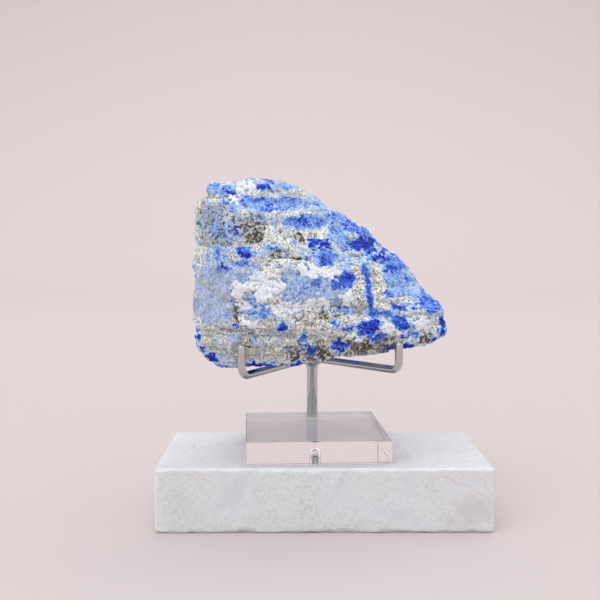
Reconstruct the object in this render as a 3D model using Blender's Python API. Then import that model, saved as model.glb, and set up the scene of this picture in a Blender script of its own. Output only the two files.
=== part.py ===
"""A raw lapis lazuli specimen on its stand: the stone rests in a three-armed steel cradle, whose post
stands in a clear acrylic block on a sawn white marble slab.

Units are metres and +Z is up. The origin is the middle of the slab's underside. +X runs to the right
and +Y away from someone who looks at the stone's best face.
"""

import math

import bmesh
import bpy
import numpy as np
from mathutils import Matrix, Vector, noise

MM = 0.001

# Driving dimensions of the stand
SLAB_WIDTH = 131.0 * MM
SLAB_DEPTH = 63.0 * MM
SLAB_HEIGHT = 25.4 * MM
SLAB_EDGE_WEAR = 1.3 * MM
SLAB_CHIP = 0.35 * MM
SLAB_CHIP_SPACING = 4.0 * MM
SLAB_CHIP_LEAST, SLAB_CHIP_SPREAD = 0.35, 1.6
SLAB_EDGE_STEP = 5.0 * MM

STAND_TURN = math.radians(3.4)
BLOCK_SIDE = 57.0 * MM
BLOCK_HEIGHT = 9.0 * MM
BLOCK_POLISH = 0.35 * MM
BLOCK_CENTRE = Vector((-3.5, 2.1)) * MM

POST_RADIUS = 4.76 * MM / 2
POST_FROM_BLOCK_CENTRE = Vector((0.7, 18.9)) * MM
POST_DEPTH_IN_BLOCK = 5.1 * MM
POST_CHAMFER = 0.4 * MM
HOLE_FLOOR = 1.0 * MM
DRILL_OVERRUN = 2.0 * MM
HUB_RADIUS = 4.3 * MM
HUB_HEIGHT = 5.6 * MM
HUB_HOLD = 1.5 * MM
HUB_FILLET = 1.4 * MM
HUB_FULLNESS = 0.6
HUB_TOP_SHARE = 0.8

WIRE_RADIUS = 3.18 * MM / 2
WIRE_BEND = 3.6 * MM
WIRE_TIP_DOME = 0.55
WIRE_TIP_STEPS = (1.0, 0.6, 0.25, 0.0)
ARM_REACH = 53.0 * MM
ARM_SPLAY = math.radians(35.5)
HUB_Z = 60.6 * MM
LEFT_BEND_Z = 59.8 * MM
RIGHT_BEND_Z = 61.6 * MM
LIP_TOP_Z = 72.2 * MM
RIGHT_LIP_TOP_Z = 72.6 * MM
REAR_REACH = 8.4 * MM
REAR_TOP_Z = 86.0 * MM

# Gap that keeps neighbouring solids apart
CLEARANCE = 0.3 * MM
TOUCH = 0.01 * MM

# The stone's widest line, as (x, z, y) in millimetres: x and z as seen from the front, and y how far
# back that part of the line lies. It starts in the notch under the cap and runs over the top.
STONE_RIM = (
    (-48.0, 129.3, -16), (-47.1, 132.6, -16), (-45.3, 134.7, -15), (-42.6, 135.5, -14),
    (-37.1, 135.1, -12), (-30.7, 136.3, -6), (-24.8, 137.4, -2), (-20.8, 137.7, 0),
    (-14.7, 135.2, 3), (-7.7, 131.4, 6), (-0.9, 129.5, 8), (5.7, 125.1, 10),
    (13.0, 121.2, 10), (19.0, 118.5, 9), (21.1, 116.0, 8), (23.1, 111.0, 6),
    (27.6, 107.2, 4), (31.3, 106.0, 3), (33.3, 103.4, 2), (35.3, 99.3, 0),
    (41.7, 93.6, -5), (44.1, 89.9, -7), (47.5, 85.9, -11), (49.2, 82.7, -13),
    (50.0, 78.4, -14), (49.6, 75.9, -14), (45.6, 69.9, -15), (42.4, 68.7, -16),
    (35.1, 67.8, -16), (26.9, 68.5, -17), (16.7, 66.2, -18), (2.6, 64.8, -19),
    (-7.1, 62.9, -20), (-12.8, 63.4, -20), (-18.7, 61.4, -20), (-29.9, 61.4, -20),
    (-40.2, 60.9, -19), (-43.2, 61.9, -18), (-46.8, 65.6, -16), (-50.2, 69.6, -14),
    (-52.6, 75.9, -11), (-53.1, 83.2, -9), (-53.6, 90.1, -9), (-52.5, 93.3, -9),
    (-51.2, 96.7, -9), (-52.6, 99.4, -9), (-52.4, 102.3, -9), (-51.4, 109.8, -9),
    (-51.6, 113.0, -9), (-52.5, 120.5, -10), (-52.8, 123.7, -11), (-52.2, 126.1, -12),
    (-50.0, 128.2, -14),
)
STONE_CENTRE = (-3.0, -1.0, 97.0)

# Fracture faces of the stone: a point on each, in millimetres, and the way it faces
MAIN_FACES = {
    "front": ((-14, -30.4, 90), (0.0, -1.0, 0.02)),
    "right front": ((14.3, -24.8, 93.4), (0.28, -1.0, 0.23)),
    "brow": ((-12, -29.4, 101), (0.03, -1.0, 0.20)),
    "chin": ((-5, -28.4, 72), (-0.26, -1.0, -0.45)),
    "cap": ((-30, -20.0, 128), (0.05, -1.0, 1.15)),
    "left flank": ((-39, -25.0, 95), (-1.1, -1.0, 0.05)),
    "upper roof": ((3, -19.0, 118), (0.60, -0.35, 0.72)),
    "middle roof": ((9, -20.5, 110), (0.80, -0.70, 0.62)),
    "lower roof": ((15, -25.8, 87.3), (0.56, -1.0, 0.80)),
    "right foot": ((29, -18.2, 80), (0.26, -1.0, -0.10)),
}
SHELF_FACES = {
    "shelf front": ((29, -18.4, 75), (0.32, -0.92, -0.32)),
    "shelf top": ((40, -13.0, 86.8), (-0.05, -0.45, 0.90)),
    "shelf end": ((12, -24.0, 76), (-0.80, -0.60, 0.10)),
}
BACK_FACES = {
    "back": ((-10, 25.0, 95), (0.04, 1.0, 0.05)),
    "right back": ((40, 8.0, 84), (0.72, 0.68, 0.10)),
    "left back": ((-46, 8.0, 95), (-0.86, 0.50, 0.05)),
    "top back": ((-20, 14.0, 124), (0.05, 0.72, 0.68)),
    "roof back": ((21, 18.0, 110), (0.42, 0.66, 0.60)),
    "left top back": ((-40, 8.0, 122), (-0.45, 0.60, 0.62)),
    "bottom back": ((0, 25.0, 68), (0.0, 0.75, -0.62)),
    "underside": ((-4, 10.0, 64.3), (0.14, 0.0, -1.0)),
    "rest": ((-30, -10.0, 61.5), (0.0, 0.0, -1.0)),
}
EDGE_WEAR_MM = 0.9
RIM_SWELL_MM = 3.0
RIM_SWELL_DEPTH_MM = 30.0

# Ledges along the bedding: height, half thickness, how far each stands out, and its two ends across
LEDGES = (
    (132.5, 2.4, 0.8, -60, -8),
    (127.8, 1.1, -1.6, -60, -14),
    (123.6, 1.9, 0.9, -22, 30),
    (118.8, 1.0, -0.9, -24, 40),
    (112.8, 1.2, 0.7, 2, 40),
    (108.2, 1.4, -0.8, -60, -22),
    (104.9, 0.9, -1.5, -20, 6),
    (101.0, 2.6, 0.7, -20, 10),
    (97.0, 1.2, -0.9, 20, 50),
    (93.0, 3.6, 0.8, -38, 8),
    (86.6, 1.2, -1.2, -38, 14),
    (84.6, 1.5, -1.5, 14, 46),
    (80.5, 2.2, 0.6, -30, 20),
    (75.0, 1.1, -0.9, -55, 30),
    (70.5, 1.8, 0.7, -50, 40),
)
LEDGE_FADE_MM = 5.0
BEDDING_DIP = 0.05

# Pits in the best face: across, height, radius and depth
PITS = (
    (-25.8, 113.0, 3.2, 1.8),
    (-40.5, 115.0, 1.8, 1.6),
    (-33.8, 86.0, 2.2, 1.7),
    (-32.8, 81.5, 1.8, 1.3),
    (-29.0, 91.2, 2.6, 1.0),
    (-2.0, 86.6, 2.6, 1.6),
    (5.2, 86.9, 3.2, 1.8),
    (-14.0, 70.5, 2.6, 1.1),
    (9.0, 72.0, 2.4, 1.2),
)

# Relief of the broken surface: how far it stands out, and the size of its forms
LUMP_MM, LUMP_SIZE_MM = 1.3, 16.0
STRATA_MM, STRATA_LENGTH_MM, STRATA_THICKNESS_MM = 1.1, 24.0, 4.6
CHIP_MM, CHIP_SIZE_MM = 1.5, 7.5
BEDDING_WAVE_MM, BEDDING_WAVE_LENGTH_MM = 1.5, 22.0
SMOOTH_FACE = ((-44.0, 91.0), (11.0, 15.0))
SMOOTH_SHARE = 0.35

SPHERE_SUBDIVISIONS = 6
LONGEST_REACH_MM = 90.0
REACH_HALVINGS = 20
STONE_NET = 1.25 * MM
STONE_TRIANGLES = 6300
HOLDER_GAP_MM = 0.8
HOLDER_BITE_MM = 7.0
HOLDER_STEP_MM = 0.5


def clear_scene():
    for obj in list(bpy.data.objects):
        bpy.data.objects.remove(obj)


def material(name, colour, roughness, metallic=0.0, transmission=0.0, ior=1.5):
    made = bpy.data.materials.new(name)
    made.use_nodes = True
    shader = made.node_tree.nodes["Principled BSDF"]
    shader.inputs["Base Color"].default_value = (*colour, 1.0)
    shader.inputs["Roughness"].default_value = roughness
    shader.inputs["Metallic"].default_value = metallic
    shader.inputs["Transmission Weight"].default_value = transmission
    shader.inputs["IOR"].default_value = ior
    return made


def add_object(name, mesh, finish=None):
    obj = bpy.data.objects.new(name, mesh)
    bpy.context.scene.collection.objects.link(obj)
    if finish:
        mesh.materials.append(finish)
    return obj


def mesh_from(bm, name):
    mesh = bpy.data.meshes.new(name)
    bm.to_mesh(mesh)
    bm.free()
    return mesh


def cut_with(obj, cutter, name):
    """Takes the cutter's shape out of obj, and hides the cutter."""
    cutter.hide_render = True
    cutter.display_type = "WIRE"
    boolean = obj.modifiers.new(name, "BOOLEAN")
    boolean.operation = "DIFFERENCE"
    boolean.solver = "EXACT"
    boolean.object = cutter


def turned(point):
    """A point of the stand, given from the block's centre, carried to its place on the slab."""
    across = Matrix.Rotation(STAND_TURN, 2) @ Vector(point)
    return BLOCK_CENTRE + across


def marble_slab():
    """A sawn slab: flat faces, worn edges, and small chips along them."""
    bm = bmesh.new()
    bmesh.ops.create_cube(bm, size=1.0)
    bmesh.ops.scale(bm, vec=(SLAB_WIDTH, SLAB_DEPTH, SLAB_HEIGHT), verts=bm.verts)
    bmesh.ops.translate(bm, vec=(0, 0, SLAB_HEIGHT / 2), verts=bm.verts)
    for edge in list(bm.edges):
        steps = round(edge.calc_length() / SLAB_EDGE_STEP)
        bmesh.ops.subdivide_edges(bm, edges=[edge], cuts=steps - 1)
    bmesh.ops.bevel(
        bm, geom=[e for e in bm.edges if e.calc_face_angle(0) > 1], offset=SLAB_EDGE_WEAR,
        segments=1, affect="EDGES",
    )
    half = Vector((SLAB_WIDTH / 2, SLAB_DEPTH / 2, SLAB_HEIGHT / 2))
    middle = Vector((0, 0, SLAB_HEIGHT / 2))
    for vert in bm.verts:
        out = vert.co - middle
        in_edge = [abs(out[i]) > half[i] - SLAB_EDGE_WEAR - TOUCH for i in range(3)]
        if sum(in_edge) < 2:
            continue
        depth = SLAB_CHIP_LEAST + noise.noise(vert.co / SLAB_CHIP_SPACING) * SLAB_CHIP_SPREAD
        bite = SLAB_CHIP * max(0.0, depth)
        for i in range(3):
            on_face = half[i] - abs(out[i]) < TOUCH
            if in_edge[i] and not on_face:
                vert.co[i] -= math.copysign(bite, out[i])
    bmesh.ops.triangulate(bm, faces=bm.faces)
    finish = material("sawn white marble", (0.80, 0.80, 0.79), 0.6)
    return add_object("marble_slab", mesh_from(bm, "marble_slab"), finish)


def acrylic_block():
    """A polished clear block with a blind hole for the post."""
    bm = bmesh.new()
    bmesh.ops.create_cube(bm, size=1.0)
    bmesh.ops.scale(bm, vec=(BLOCK_SIDE, BLOCK_SIDE, BLOCK_HEIGHT), verts=bm.verts)
    bmesh.ops.bevel(bm, geom=list(bm.edges), offset=BLOCK_POLISH, segments=2, affect="EDGES")
    finish = material("clear acrylic", (0.97, 0.96, 0.97), 0.03, transmission=1.0, ior=1.49)
    block = add_object("acrylic_block", mesh_from(bm, "acrylic_block"), finish)
    base = SLAB_HEIGHT + CLEARANCE
    block.location = (*BLOCK_CENTRE, base + BLOCK_HEIGHT / 2)
    block.rotation_euler = (0, 0, STAND_TURN)
    hole = rod("post_hole", POST_RADIUS + CLEARANCE, base + HOLE_FLOOR, base + BLOCK_HEIGHT + DRILL_OVERRUN)
    cut_with(block, hole, "post hole")
    return block


def post_foot_z():
    return SLAB_HEIGHT + CLEARANCE + BLOCK_HEIGHT - POST_DEPTH_IN_BLOCK


def rod(name, radius, low, high, sides=32, finish=None):
    """An upright round bar at the post's place."""
    bm = bmesh.new()
    bmesh.ops.create_cone(
        bm, cap_ends=True, segments=sides, radius1=radius, radius2=radius, depth=high - low
    )
    obj = add_object(name, mesh_from(bm, name), finish)
    obj.location = (*turned(POST_FROM_BLOCK_CENTRE), (low + high) / 2)
    return obj


def lathe(name, profile, sides, finish):
    """Turns (radius, height) points, bottom to top, round the post's axis."""
    bm = bmesh.new()
    rows = []
    for radius, height in profile:
        if radius < 1e-7:
            rows.append([bm.verts.new((0, 0, height))])
            continue
        turn = [2 * math.pi * i / sides for i in range(sides)]
        rows.append([bm.verts.new((radius * math.cos(a), radius * math.sin(a), height)) for a in turn])
    for low, high in zip(rows, rows[1:]):
        for i in range(sides):
            j = (i + 1) % sides
            corners = (low[i % len(low)], low[j % len(low)], high[j % len(high)], high[i % len(high)])
            bm.faces.new(list(dict.fromkeys(corners)))
    bmesh.ops.recalc_face_normals(bm, faces=bm.faces)
    obj = add_object(name, mesh_from(bm, name), finish)
    obj.location = (*turned(POST_FROM_BLOCK_CENTRE), 0)
    return obj


def steel_post(finish):
    """The post, with the swelling at its top that the three wires are set in."""
    half = HUB_HEIGHT / 2
    foot = post_foot_z()
    profile = [(0, foot), (POST_RADIUS - POST_CHAMFER, foot)]
    profile += [(POST_RADIUS, foot + POST_CHAMFER), (POST_RADIUS, HUB_Z - half - HUB_FILLET)]
    for i in range(1, 9):
        angle = -math.pi / 2 + math.pi * i / 9
        radius = POST_RADIUS + (HUB_RADIUS - POST_RADIUS) * math.cos(angle) ** HUB_FULLNESS
        profile.append((radius, HUB_Z + half * math.sin(angle)))
    profile += [(POST_RADIUS * HUB_TOP_SHARE, HUB_Z + half), (0, HUB_Z + half)]
    post = lathe("post", profile, 28, finish)
    for name, route in arm_routes().items():
        socket = wire(name + "_socket", route, WIRE_RADIUS + CLEARANCE, finish, overrun=CLEARANCE)
        cut_with(post, socket, name + " socket")
    return post


def arm_routes():
    """Corner points of each wire: its end in the hub, its bend, and its tip."""
    hub = Vector((*turned(POST_FROM_BLOCK_CENTRE), HUB_Z))
    front = STAND_TURN - math.pi / 2
    ways = {
        "left_arm": (front - ARM_SPLAY, ARM_REACH, LEFT_BEND_Z, LIP_TOP_Z),
        "right_arm": (front + ARM_SPLAY, ARM_REACH, RIGHT_BEND_Z, RIGHT_LIP_TOP_Z),
        "rear_arm": (front + math.pi, REAR_REACH, HUB_Z, REAR_TOP_Z),
    }
    routes = {}
    for name, (angle, reach, bend_z, top_z) in ways.items():
        out = Vector((math.cos(angle), math.sin(angle), 0))
        start = hub + out * (HUB_RADIUS - HUB_HOLD)
        bend = Vector((hub.x + out.x * reach, hub.y + out.y * reach, bend_z))
        routes[name] = (start, bend, Vector((bend.x, bend.y, top_z)))
    return routes


def rounded_route(route, bend_radius, steps=6):
    """The route's points, with its one corner turned into an arc."""
    start, corner, end = route
    inward, outward = (corner - start).normalized(), (end - corner).normalized()
    turn = inward.angle(outward)
    back = bend_radius * math.tan(turn / 2)
    centre = corner - inward * back + (outward - inward * inward.dot(outward)).normalized() * bend_radius
    axis = inward.cross(outward).normalized()
    arm = corner - inward * back - centre
    arc = [centre + Matrix.Rotation(turn * i / steps, 3, axis) @ arm for i in range(steps + 1)]
    return [start, *arc, end]


def wire(name, route, radius, finish, overrun=0.0, sides=14):
    """A bent wire: a round section carried along the route, its far end rounded over."""
    line = rounded_route(route, WIRE_BEND)
    inward = (line[1] - line[0]).normalized()
    outward = (line[-1] - line[-2]).normalized()
    line[0] = line[0] - inward * overrun
    line[-1] = line[-1] + outward * overrun
    dome = radius * WIRE_TIP_DOME
    sections = [(line[0], inward, radius)]
    for before, here, after in zip(line, line[1:], line[2:]):
        sections.append((here, (after - before).normalized(), radius))
    for share in WIRE_TIP_STEPS:
        angle = math.pi / 2 * (1 - share)
        size = radius - dome + dome * math.cos(angle)
        sections.append((line[-1] - outward * (dome - dome * math.sin(angle)), outward, size))
    side = inward.cross(outward).normalized()
    bm = bmesh.new()
    rings = []
    for centre, way, size in sections:
        up = side.cross(way).normalized()
        turn = [2 * math.pi * i / sides for i in range(sides)]
        rings.append([bm.verts.new(centre + (side * math.cos(a) + up * math.sin(a)) * size) for a in turn])
    for low, high in zip(rings, rings[1:]):
        for i in range(sides):
            j = (i + 1) % sides
            bm.faces.new((low[i], low[j], high[j], high[i]))
    bm.faces.new(list(reversed(rings[0])))
    bm.faces.new(rings[-1])
    bmesh.ops.recalc_face_normals(bm, faces=bm.faces)
    return add_object(name, mesh_from(bm, name), finish)


def faces_field(faces, points):
    """How far each point lies outside the solid that a set of fracture faces bounds, in millimetres."""
    fields = []
    for point, facing in faces.values():
        normal = np.array(facing) / np.linalg.norm(facing)
        fields.append((points - np.array(point)) @ normal)
    return worn_max(fields)


def worn_max(fields):
    """The largest of several fields, with the edge between two of them worn round."""
    stacked = np.stack(fields) / EDGE_WEAR_MM
    top = stacked.max(axis=0)
    return EDGE_WEAR_MM * (top + np.log(np.exp(stacked - top).sum(axis=0)))


def rim_field(points):
    """Distance outside the rim's outline, which draws in before and behind the rim's own line."""
    rim = np.array(STONE_RIM)
    flat = points[:, [0, 2]]
    start, end = rim[:, :2], np.roll(rim[:, :2], -1, axis=0)
    along = end - start
    to_point = flat[:, None] - start
    share = np.clip((to_point * along).sum(-1) / (along**2).sum(-1), 0, 1)
    gap = np.linalg.norm(to_point - share[..., None] * along, axis=-1)
    nearest = gap.argmin(axis=1)
    crosses = (start[:, 1] > flat[:, None, 1]) != (end[:, 1] > flat[:, None, 1])
    reach = start[:, 0] + along[:, 0] * (flat[:, None, 1] - start[:, 1]) / (along[:, 1] + 1e-12)
    inside = (crosses & (flat[:, None, 0] < reach)).sum(axis=1) % 2 == 1
    distance = np.where(inside, -gap.min(axis=1), gap.min(axis=1))
    rows = np.arange(len(points))
    rim_y = rim[nearest, 2] + share[rows, nearest] * (np.roll(rim[:, 2], -1) - rim[:, 2])[nearest]
    return distance + RIM_SWELL_MM * ((points[:, 1] - rim_y) / RIM_SWELL_DEPTH_MM) ** 2


def stone_field(points):
    """Negative inside the stone: the rim, the back and the front, whose shelf stands out below."""
    front = np.minimum(faces_field(MAIN_FACES, points), faces_field(SHELF_FACES, points))
    return worn_max([rim_field(points), faces_field(BACK_FACES, points), front])


def holder_gap(points):
    """How far each point is from the steel under the stone, in millimetres."""
    hub = Vector((*turned(POST_FROM_BLOCK_CENTRE), HUB_Z - HUB_HEIGHT))
    bars = [([hub, hub + Vector((0, 0, HUB_HEIGHT))], HUB_RADIUS)]
    bars += [(rounded_route(route, WIRE_BEND), WIRE_RADIUS) for route in arm_routes().values()]
    gap = np.full(len(points), np.inf)
    for line, radius in bars:
        for start, end in zip(line, line[1:]):
            first, along = np.array(start) / MM, np.array(end - start) / MM
            share = np.clip((points - first) @ along / (along @ along), 0, 1)
            nearest = first + share[:, None] * along
            gap = np.minimum(gap, np.linalg.norm(points - nearest, axis=1) - radius / MM)
    return gap


def stone_lump():
    """A sphere's points, sent out until they meet a fracture face or come close to the steel."""
    bm = bmesh.new()
    bmesh.ops.create_icosphere(bm, subdivisions=SPHERE_SUBDIVISIONS, radius=1.0)
    centre = np.array(STONE_CENTRE)
    ways = np.array([vert.co.normalized() for vert in bm.verts])
    near, far = np.zeros(len(ways)), np.full(len(ways), LONGEST_REACH_MM)
    for _ in range(REACH_HALVINGS):
        middle = (near + far) / 2
        outside = stone_field(centre + ways * middle[:, None]) > 0
        far = np.where(outside, middle, far)
        near = np.where(outside, near, middle)
    surface = near.copy()
    for depth in np.arange(0.0, HOLDER_BITE_MM, HOLDER_STEP_MM):
        held = holder_gap(centre + ways * (surface - depth)[:, None]) < HOLDER_GAP_MM
        near = np.where(held, surface - depth - HOLDER_STEP_MM, near)
    for vert, way, reach in zip(bm.verts, ways, near):
        vert.co = Vector(centre + way * reach) * MM
    return mesh_from(bm, "lapis_stone")


def gate(value, low, high, fade):
    """1 between low and high, falling to 0 over the fade beyond each."""
    rise = min(1.0, max(0.0, (value - low) / fade + 1))
    fall = min(1.0, max(0.0, (high - value) / fade + 1))
    return rise * fall


def relief(point, facing):
    """How far the broken surface stands out at a point of the lump, in millimetres."""
    x, y, z = point
    place = Vector(point)
    bedding = z + BEDDING_DIP * x + BEDDING_WAVE_MM * noise.noise(place / BEDDING_WAVE_LENGTH_MM)
    push = 0.0
    for level, half_thickness, stands_out, low, high in LEDGES:
        profile = math.exp(-(((bedding - level) / half_thickness) ** 4))
        push += stands_out * profile * gate(x, low, high, LEDGE_FADE_MM)
    flat = Vector((x / STRATA_LENGTH_MM, y / STRATA_LENGTH_MM, bedding / STRATA_THICKNESS_MM))
    rough = STRATA_MM * noise.fractal(flat, 0.8, 2.0, 3)
    rough += LUMP_MM * noise.fractal(place / LUMP_SIZE_MM, 0.9, 2.1, 3)
    chip = noise.voronoi(place / CHIP_SIZE_MM)[0]
    rough += CHIP_MM * (min(chip[1] - chip[0], 0.35) - 0.2)
    (mid_x, mid_z), (half_x, half_z) = SMOOTH_FACE
    smooth = gate(math.hypot((x - mid_x) / half_x, (z - mid_z) / half_z), 0, 0.8, 0.5)
    push += rough * (1 - (1 - SMOOTH_SHARE) * smooth * (facing.y < 0))
    if facing.y < -0.3:
        for pit_x, pit_z, radius, depth in PITS:
            push -= depth * math.exp(-(((x - pit_x) ** 2 + (z - pit_z) ** 2) / radius**2) ** 2)
    return push


def applied(obj):
    """Gives the object the mesh that its modifiers make, and takes them off."""
    depsgraph = bpy.context.evaluated_depsgraph_get()
    mesh = bpy.data.meshes.new_from_object(obj.evaluated_get(depsgraph))
    obj.modifiers.clear()
    obj.data = mesh
    return mesh


def lapis_stone():
    """The stone: the lump that its fracture faces bound, with ledges, pits, lumps and chips."""
    finish = material("raw lapis lazuli", (0.22, 0.32, 0.62), 0.8)
    stone = add_object("lapis_stone", stone_lump(), finish)
    even = stone.modifiers.new("even net", "REMESH")
    even.mode = "VOXEL"
    even.voxel_size = STONE_NET
    mesh = applied(stone)
    places = np.array([vert.co for vert in mesh.vertices]) / MM
    gaps = holder_gap(places) - HOLDER_GAP_MM
    facings = [vert.normal.copy() for vert in mesh.vertices]
    for vert, place, facing, gap in zip(mesh.vertices, places, facings, gaps):
        vert.co += facing * min(relief(place, facing), gap) * MM
    fewer = stone.modifiers.new("fewer faces", "DECIMATE")
    fewer.ratio = STONE_TRIANGLES / (2 * len(mesh.polygons))
    fewer.use_collapse_triangulate = True
    return stone


def main():
    clear_scene()
    steel = material("polished stainless steel", (0.62, 0.62, 0.63), 0.2, metallic=1.0)
    marble_slab()
    acrylic_block()
    steel_post(steel)
    for name, route in arm_routes().items():
        wire(name, route, WIRE_RADIUS, steel)
    lapis_stone()


main()
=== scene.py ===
"""The finish of a raw lapis lazuli specimen on its stand.

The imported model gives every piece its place. Each operator below makes one piece of the display, from
the sizes and colours that its settings hold, and they can be run again from the sidebar of the 3D view.
"""

import math

import bmesh
import bpy
import numpy as np
from bpy.props import FloatProperty, FloatVectorProperty, PointerProperty
from mathutils import Matrix, Vector, noise
from mathutils.bvhtree import BVHTree


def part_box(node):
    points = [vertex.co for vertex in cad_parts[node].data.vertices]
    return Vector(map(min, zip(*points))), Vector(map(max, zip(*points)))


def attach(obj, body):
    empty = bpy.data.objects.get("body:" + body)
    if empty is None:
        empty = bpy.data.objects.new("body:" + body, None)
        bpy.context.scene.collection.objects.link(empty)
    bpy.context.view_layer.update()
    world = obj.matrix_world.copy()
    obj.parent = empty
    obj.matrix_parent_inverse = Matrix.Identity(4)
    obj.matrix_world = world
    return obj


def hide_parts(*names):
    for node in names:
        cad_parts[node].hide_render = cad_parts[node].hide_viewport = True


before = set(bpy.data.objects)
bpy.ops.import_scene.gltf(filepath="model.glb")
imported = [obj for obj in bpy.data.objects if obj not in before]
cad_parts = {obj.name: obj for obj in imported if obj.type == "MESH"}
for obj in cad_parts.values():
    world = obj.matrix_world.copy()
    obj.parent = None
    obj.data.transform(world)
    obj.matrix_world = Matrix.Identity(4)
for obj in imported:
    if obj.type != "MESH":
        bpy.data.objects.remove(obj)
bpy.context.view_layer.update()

bl_info = {
    "name": "Raw Lapis Lazuli Specimen",
    "version": (1, 0, 0),
    "blender": (4, 5, 0),
    "location": "View3D > Sidebar > Specimen",
    "description": "Makes a raw lapis lazuli, its wire cradle, acrylic block and marble slab",
    "category": "Add Mesh",
}

MM = 0.001
MERGE = 0.001 * MM
BODY = "root"

# Where the eye is: the picture is 600 pixels square
PICTURE_SIDE_PX = 600
FOCAL_PX = 878
SENSOR_MM = 36.0
NEAREST_SEEN = 0.01
EYE = Vector((-11.2, -361.7, 115.2)) * MM
EYE_DOWN = math.radians(4.34)
EYE_RIGHT = math.radians(0.29)

# The mineral patches of the best face, read off the picture plane through the stone's front:
# across and up in millimetres, half width, half height, and for some the turn in degrees
FACE_PLANE_Y = -28.0 * MM

# The wide masses of the face: a patch, and the value that each field has there
ZONES = (
    ((-39.7, 118.4, 9.3, 8.0), {"blue": 0.28, "skin": 0.35, "dirt": 0.63}),
    ((-27.7, 116.1, 4.6, 7.2), {"blue": 0.20, "dirt": 0.48}),
    ((-16.9, 126.2, 16.9, 2.9), {"blue": 0.52}),
    ((-2.9, 123.0, 6.7, 4.9), {"blue": 0.42}),
    ((-7.6, 119.4, 7.2, 3.2), {"blue": 0.62}),
    ((10.3, 115.7, 9.1, 6.8), {"blue": 0.54}),
    ((32.3, 97.9, 9.1, 9.1), {"blue": 0.44}),
    ((-42.8, 91.4, 8.2, 10.6), {"blue": 0.38, "skin": 1.0}),
    ((-4.8, 94.8, 12.4, 9.5), {"blue": 0.42, "skin": 0.4}),
    ((9.5, 94.3, 3.0, 10.0), {"blue": 0.47}),
    ((28.9, 88.0, 10.3, 3.4), {"blue": 0.13}),
    ((-28.5, 73.8, 19.0, 8.6), {"blue": 0.20, "dirt": 0.42, "calcite": 0.22}),
    ((18.6, 78.5, 28.0, 5.7), {"blue": 0.17, "calcite": 0.32}),
    ((7.6, 71.3, 21.7, 4.2), {"blue": 0.14, "dirt": 0.60}),
)

GREY_SKIN = (
    (-42.4, 91, 8.6, 11), (-42.7, 120.8, 4.0, 5.4), (-34.8, 99.8, 5.5, 2.3),
)
PALE_BLUE = (
    (-4.6, 94.5, 12.5, 9.9), (-1.9, 126, 5.3, 3.4), (8.7, 95.2, 3.8, 10.6), (-37.8, 106.2, 1.3, 1.9),
    (-2.8, 75.7, 1.7, 1.7), (-41.4, 74.1, 1.5, 1.3), (-35.3, 75.3, 2.7, 2.1), (-37.8, 69, 1.7, 2.7),
    (3.8, 87.8, 2.3, 2.5), (-27.2, 85.3, 2.5, 3), (-28.9, 99.4, 4.9, 2.7), (33.8, 101.7, 3.8, 2.7),
)
PERIWINKLE = (
    (-20.1, 126.2, 12.9, 2.9), (-4.6, 124.5, 4.9, 2.3), (-38, 115.9, 6.1, 2.9), (7.2, 116.5, 2.3, 2.3),
    (31.2, 94.8, 8.7, 6.5), (26.2, 104, 3.8, 3.4), (-40.5, 131.9, 5.9, 2.5), (-14.6, 132.1, 4.4, 1.1),
    (6.3, 120.3, 6.3, 3.8), (-8.2, 119.9, 7.8, 2.7, -3), (-34.6, 124.5, 2.3, 1.5),
)
CREAM = (
    (-24.7, 130.2, 7.6, 1.1), (-12.3, 122.8, 8.7, 1.2, 5), (-5.5, 115, 3.2, 1.5),
    (10.4, 114.4, 2.1, 2.1), (12.3, 95.2, 2.1, 10.6, 6), (20.1, 96, 2.7, 8.4, 5),
    (20.5, 109.1, 5.7, 1.3), (27, 88.4, 9.1, 3), (-45.2, 74.1, 2.7, 2.9), (-40.3, 128.7, 7.2, 0.8),
    (-4.6, 82.7, 6.5, 4.2), (19.9, 106.2, 1.3, 1.9),
)
OLIVE = (
    (-27.4, 116.7, 4.9, 6.7), (-6.8, 69.8, 8.7, 3.4), (21.3, 72, 8, 2.7), (-18.2, 108.3, 4.9, 2.1),
)
MID_BLUE = (
    (-7.4, 119.9, 6.3, 2.3), (13.1, 118.4, 5.5, 4.2, -38), (26.8, 104.3, 3.2, 3, -30),
    (38.8, 92.2, 2.3, 3, -45), (40.7, 88.2, 4.6, 3.2, -25), (-40.8, 107, 1.3, 1.9),
    (-31.7, 103.6, 2.5, 1.1), (-31.0, 108.2, 2.9, 2.4), (-22.8, 85.9, 2.3, 3.2, -20),
    (-3.6, 96.6, 2.1, 2.1), (21.7, 84.4, 6.1, 1.3), (24.7, 92.2, 1.9, 1.9), (-4.8, 106.4, 4, 0.9),
    (1, 106.6, 3.2, 2.3), (-11.6, 111.8, 1.3, 0.9),
    (-20, 110, 2.5, 1.1), (8.9, 98.3, 3.2, 2.3, 35), (-42.6, 132.5, 1.9, 1.1), (-39, 132.7, 1.3, 0.9),
    (-28.3, 127.9, 4.4, 1.1), (-22.2, 124.3, 1.7, 0.9),
)
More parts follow.
